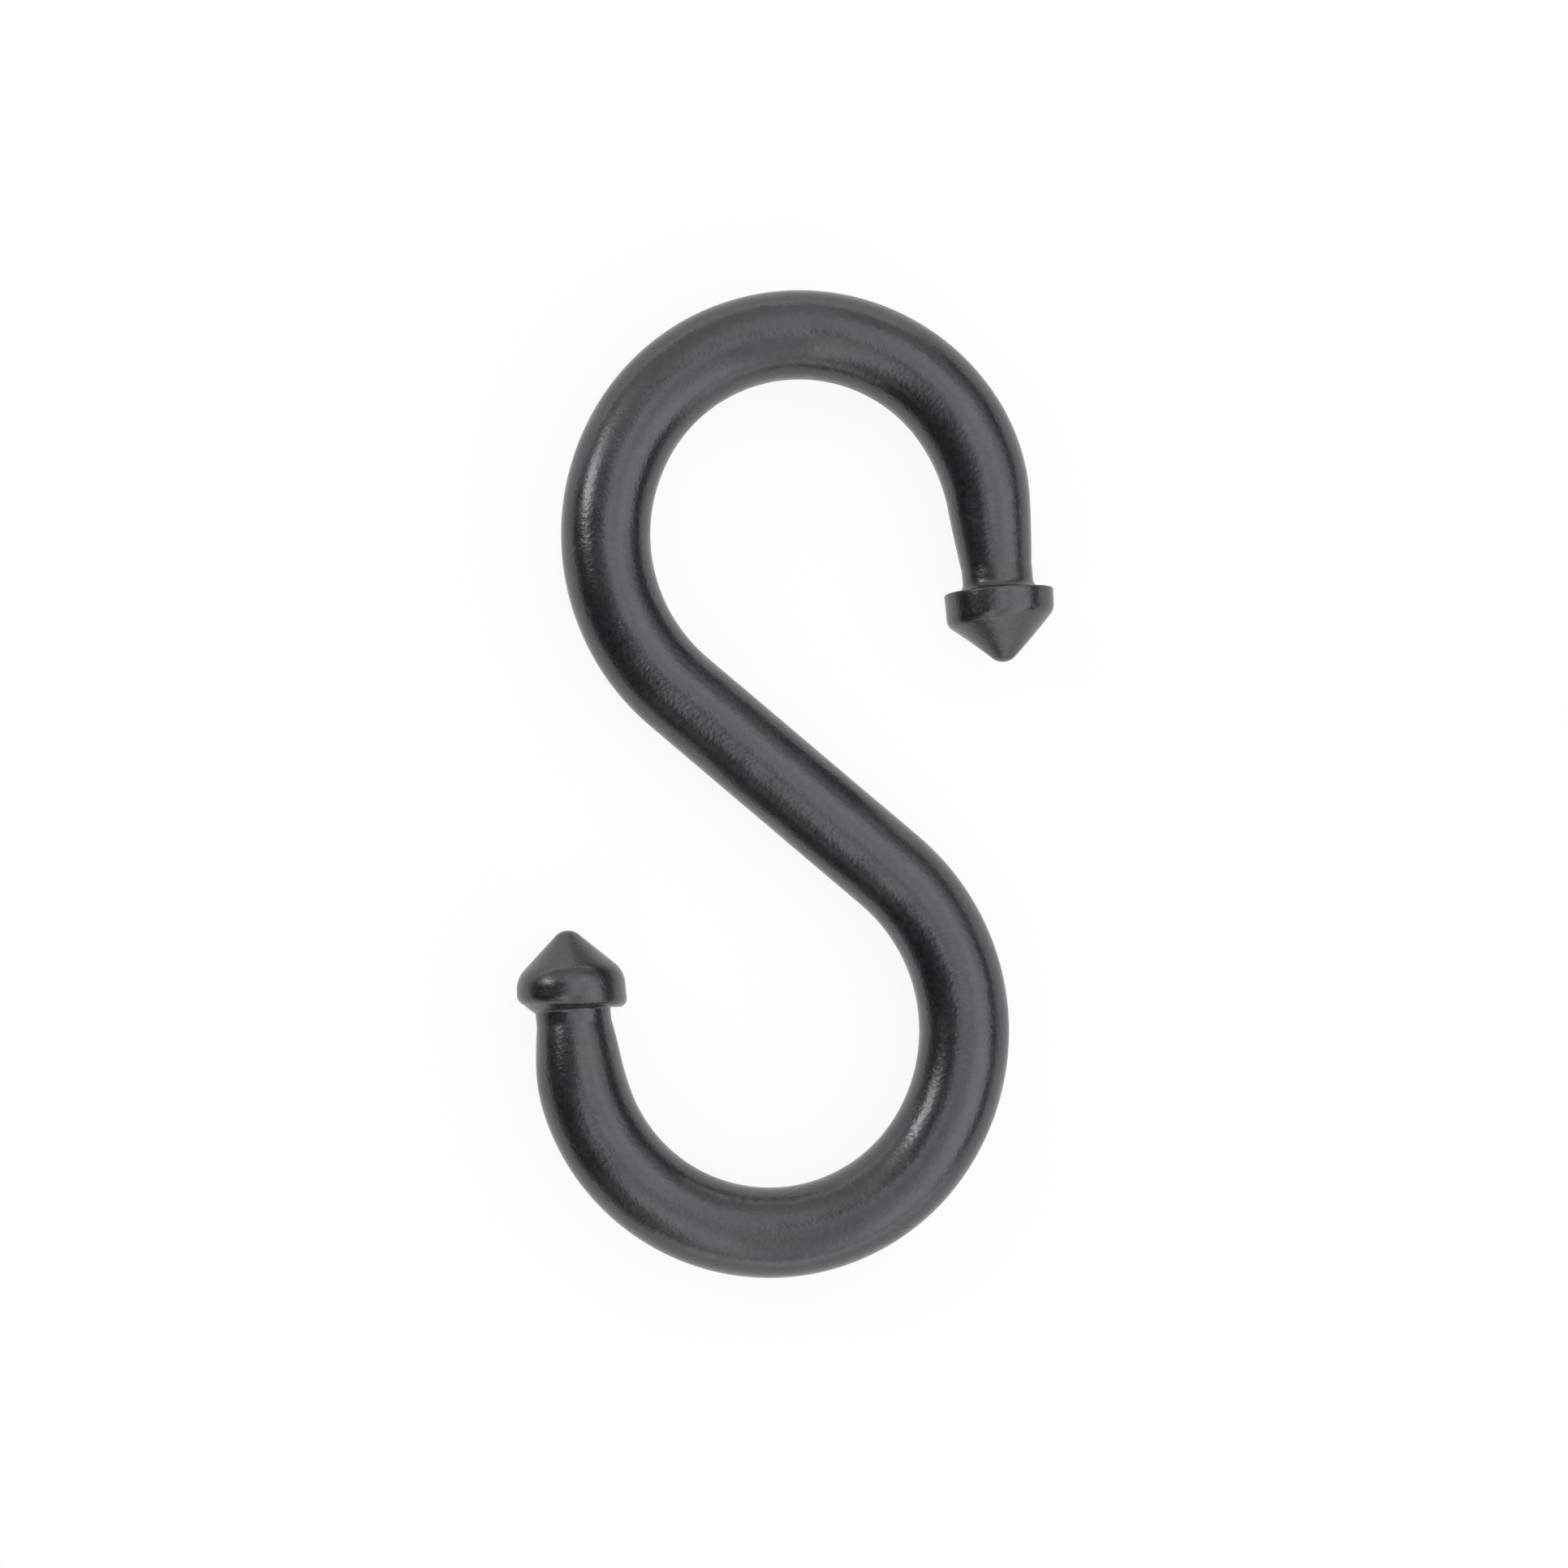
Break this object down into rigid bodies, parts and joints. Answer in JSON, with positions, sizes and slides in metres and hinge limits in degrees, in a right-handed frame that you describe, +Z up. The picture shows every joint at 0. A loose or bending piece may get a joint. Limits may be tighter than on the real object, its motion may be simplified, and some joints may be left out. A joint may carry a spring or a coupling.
{
  "type": "s hook",
  "caption": "S-shaped hook of round plastic rod: open bowls facing opposite ways, a straight slanting shank, and arms that narrow to a waist and end in barbed snap-in heads.",
  "frame": {"origin": "centre of the bounding box in plan, on the surface that the hook lies on", "axes": "+Y along the hook's length, towards the crown of the upper bowl; +X across its width, towards the upper bowl's open side; +Z up through its thickness"},
  "size_m": [0.0378, 0.07, 0.0077],
  "materials": {
    "hook_plastic": "satin charcoal black, moulded in colour"
  },
  "bodies": {
    "root": {"hook": "hook_plastic"}
  },
  "joints": []
}
